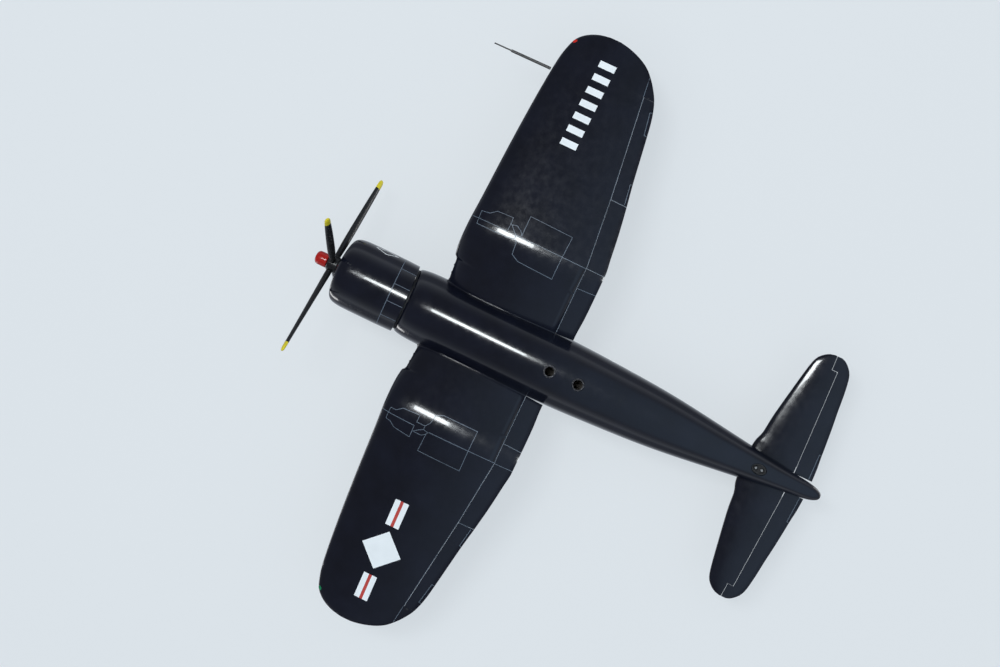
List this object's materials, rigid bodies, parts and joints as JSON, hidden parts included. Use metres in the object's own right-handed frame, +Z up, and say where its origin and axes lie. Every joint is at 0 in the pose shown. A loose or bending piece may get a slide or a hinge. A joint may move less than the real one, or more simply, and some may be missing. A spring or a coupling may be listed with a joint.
{
  "type": "gull-wing model aircraft",
  "caption": "Small electric model of a gull-wing propeller fighter with four-blade propeller, hinged flaps, ailerons, elevator and rudder, and a lift-off canopy hatch.",
  "frame": {"origin": "on the centreline of the belly, midway between the two stand sockets, at the skin", "axes": "+Z up through the canopy, +X towards the left wing tip, +Y towards the tail"},
  "size_m": [0.3896, 0.3379, 0.1174],
  "materials": {
    "navy_gloss_paint": "high-gloss very dark navy",
    "navy_moving_surface_paint": "high-gloss very dark navy",
    "black_prop_plastic": "smooth black, tips painted yellow",
    "red_spinner_plastic": "gloss red",
    "clear_canopy": "clear, thin",
    "cockpit_green": "matt dark green",
    "engine_grey": "matt dark grey",
    "plywood": "bare plywood",
    "motor_alloy": "turned alloy",
    "plated_steel": "bright plated",
    "battery_wrap": "shrink wrap",
    "electronics_wrap": "heat shrink",
    "servo_case": "moulded case",
    "servo_arm_plastic": "moulded nylon",
    "carbon_tube": "carbon tube, satin",
    "red_lamp": "gloss red",
    "green_lamp": "gloss green"
  },
  "bodies": {
    "airframe": {"fuselage_shell": "navy_gloss_paint", "engine_cowl": "navy_gloss_paint", "left_wing": "navy_gloss_paint", "right_wing": "navy_gloss_paint", "left_stabilizer": "navy_gloss_paint", "right_stabilizer": "navy_gloss_paint", "fin": "navy_gloss_paint", "left_aileron_servo": "servo_case", "right_aileron_servo": "servo_case", "dummy_engine": "engine_grey", "firewall": "plywood", "battery_tray": "plywood", "servo_tray": "plywood", "socket_block": "plywood", "motor_stator": "motor_alloy", "stand_socket_front": "plated_steel", "stand_socket_rear": "plated_steel", "tail_well_screw_front": "plated_steel", "tail_well_screw_rear": "plated_steel", "battery_pack": "battery_wrap", "speed_controller": "electronics_wrap", "radio_receiver": "electronics_wrap", "elevator_servo": "servo_case", "rudder_servo": "servo_case", "wing_joiner": "carbon_tube", "tail_well": "black_prop_plastic", "pitot_probe": "carbon_tube", "left_nav_light": "red_lamp", "right_nav_light": "green_lamp"},
    "propeller": {"motor_bell": "motor_alloy", "prop_hub": "black_prop_plastic", "spinner_dome": "red_spinner_plastic", "prop_blade_1": "black_prop_plastic", "prop_blade_2": "black_prop_plastic", "prop_blade_3": "black_prop_plastic", "prop_blade_4": "black_prop_plastic"},
    "hatch": {"canopy_hatch": "navy_gloss_paint", "canopy_glass": "clear_canopy", "cockpit_tub": "cockpit_green"},
    "elevator": {"left_elevator": "navy_moving_surface_paint", "right_elevator": "navy_moving_surface_paint", "elevator_joiner": "plated_steel"},
    "elevator_rod": {"elevator_pushrod": "plated_steel"},
    "elevator_arm": {"elevator_servo_arm": "servo_arm_plastic"},
    "rudder": {"rudder": "navy_moving_surface_paint", "rudder_torque_rod": "plated_steel"},
    "rudder_rod": {"rudder_pushrod": "plated_steel"},
    "rudder_arm": {"rudder_servo_arm": "servo_arm_plastic"},
    "left_inner_flap": {"left_inner_flap": "navy_moving_surface_paint"},
    "left_middle_flap": {"left_middle_flap": "navy_moving_surface_paint"},
    "left_outer_flap": {"left_outer_flap": "navy_moving_surface_paint"},
    "left_aileron": {"left_aileron": "navy_moving_surface_paint"},
    "left_aileron_arm": {"left_aileron_servo_arm": "servo_arm_plastic"},
    "left_aileron_rod": {"left_aileron_pushrod": "plated_steel"},
    "right_inner_flap": {"right_inner_flap": "navy_moving_surface_paint"},
    "right_middle_flap": {"right_middle_flap": "navy_moving_surface_paint"},
    "right_outer_flap": {"right_outer_flap": "navy_moving_surface_paint"},
    "right_aileron": {"right_aileron": "navy_moving_surface_paint"},
    "right_aileron_arm": {"right_aileron_servo_arm": "servo_arm_plastic"},
    "right_aileron_rod": {"right_aileron_pushrod": "plated_steel"}
  },
  "joints": [
    {"name": "propeller_spin", "type": "hinge", "parent": "airframe", "child": "propeller", "pos_m": [0, -0.13575, 0.0205], "axis": [0, 1, 0], "continuous": true},
    {"name": "hatch_lift", "type": "slide", "parent": "airframe", "child": "hatch", "axis": [0, 0, 1], "range_m": [0, 0.03]},
    {"name": "left_aileron_hinge", "type": "hinge", "parent": "airframe", "child": "left_aileron", "pos_m": [0.13854, -0.02523, 0.01343], "axis": [0.9774, -0.1426, 0.156], "range_deg": [-20, 20]},
    {"name": "right_aileron_hinge", "type": "hinge", "parent": "airframe", "child": "right_aileron", "pos_m": [-0.13854, -0.02523, 0.01343], "axis": [0.9774, 0.1426, -0.156], "range_deg": [-20, 20]},
    {"name": "left_aileron_arm_turn", "type": "hinge", "parent": "airframe", "child": "left_aileron_arm", "pos_m": [0.13147, -0.04375, 0.01424], "axis": [0.989, 0, 0.1479], "range_deg": [-25, 25]},
    {"name": "left_aileron_rod_slide", "type": "slide", "parent": "airframe", "child": "left_aileron_rod", "axis": [0.0056, 0.9993, -0.0374], "range_m": [-0.0023, 0.0023]},
    {"name": "right_aileron_arm_turn", "type": "hinge", "parent": "airframe", "child": "right_aileron_arm", "pos_m": [-0.13147, -0.04375, 0.01424], "axis": [0.989, 0, -0.1479], "range_deg": [-25, 25]},
    {"name": "right_aileron_rod_slide", "type": "slide", "parent": "airframe", "child": "right_aileron_rod", "axis": [-0.0056, 0.9993, -0.0374], "range_m": [-0.0023, 0.0023]},
    {"name": "left_inner_flap_hinge", "type": "hinge", "parent": "airframe", "child": "left_inner_flap", "pos_m": [0.03604, -0.0163, 0.00854], "axis": [-0.9303, -0.0313, 0.3654], "range_deg": [0, 40]},
    {"name": "left_middle_flap_hinge", "type": "hinge", "parent": "airframe", "child": "left_middle_flap", "pos_m": [0.05745, -0.01565, 0.00138], "axis": [-0.9953, -0.0224, 0.0943], "range_deg": [0, 40]},
    {"name": "left_outer_flap_hinge", "type": "hinge", "parent": "airframe", "child": "left_outer_flap", "pos_m": [0.08542, -0.01805, 0.00477], "axis": [-0.9813, 0.1169, -0.1532], "range_deg": [0, 40]},
    {"name": "right_inner_flap_hinge", "type": "hinge", "parent": "airframe", "child": "right_inner_flap", "pos_m": [-0.03604, -0.0163, 0.00854], "axis": [-0.9303, 0.0313, -0.3654], "range_deg": [0, 40]},
    {"name": "right_middle_flap_hinge", "type": "hinge", "parent": "airframe", "child": "right_middle_flap", "pos_m": [-0.05745, -0.01565, 0.00138], "axis": [-0.9953, 0.0224, -0.0943], "range_deg": [0, 40]},
    {"name": "right_outer_flap_hinge", "type": "hinge", "parent": "airframe", "child": "right_outer_flap", "pos_m": [-0.08542, -0.01805, 0.00477], "axis": [-0.9813, -0.1169, 0.1532], "range_deg": [0, 40]},
    {"name": "elevator_hinge", "type": "hinge", "parent": "airframe", "child": "elevator", "pos_m": [0, 0.14485, 0.0332], "axis": [1, 0, 0], "range_deg": [-22, 22]},
    {"name": "elevator_arm_turn", "type": "hinge", "parent": "airframe", "child": "elevator_arm", "pos_m": [0.0085, 0.00125, 0.0275], "axis": [0, 0, 1], "range_deg": [-16, 16]},
    {"name": "elevator_rod_slide", "type": "slide", "parent": "airframe", "child": "elevator_rod", "axis": [-0.0014, 1, 0], "range_m": [-0.0018, 0.0018]},
    {"name": "rudder_hinge", "type": "hinge", "parent": "airframe", "child": "rudder", "pos_m": [0, 0.13565, 0.0505], "axis": [0, 0, 1], "range_deg": [-28, 28]},
    {"name": "rudder_arm_turn", "type": "hinge", "parent": "airframe", "child": "rudder_arm", "pos_m": [-0.0085, 0.00125, 0.0275], "axis": [0, 0, 1], "range_deg": [-20, 20]},
    {"name": "rudder_rod_slide", "type": "slide", "parent": "airframe", "child": "rudder_rod", "axis": [-0.0177, 0.9998, 0], "range_m": [-0.0023, 0.0023]}
  ],
  "couplings": [
    {"joint": "right_aileron_hinge", "follows": "left_aileron_hinge", "ratio": -1},
    {"joint": "left_aileron_arm_turn", "follows": "left_aileron_hinge", "ratio": 1.2},
    {"joint": "left_aileron_rod_slide", "follows": "left_aileron_hinge", "m_per_rad": -0.0062},
    {"joint": "right_aileron_arm_turn", "follows": "left_aileron_hinge", "ratio": -1.2},
    {"joint": "right_aileron_rod_slide", "follows": "left_aileron_hinge", "m_per_rad": 0.0062},
    {"joint": "left_middle_flap_hinge", "follows": "left_inner_flap_hinge", "ratio": 1},
    {"joint": "left_outer_flap_hinge", "follows": "left_inner_flap_hinge", "ratio": 1},
    {"joint": "right_inner_flap_hinge", "follows": "left_inner_flap_hinge", "ratio": 1},
    {"joint": "right_middle_flap_hinge", "follows": "left_inner_flap_hinge", "ratio": 1},
    {"joint": "right_outer_flap_hinge", "follows": "left_inner_flap_hinge", "ratio": 1},
    {"joint": "elevator_arm_turn", "follows": "elevator_hinge", "ratio": -0.66},
    {"joint": "elevator_rod_slide", "follows": "elevator_hinge", "m_per_rad": 0.0044},
    {"joint": "rudder_arm_turn", "follows": "rudder_hinge", "ratio": -0.66},
    {"joint": "rudder_rod_slide", "follows": "rudder_hinge", "m_per_rad": -0.0044}
  ]
}
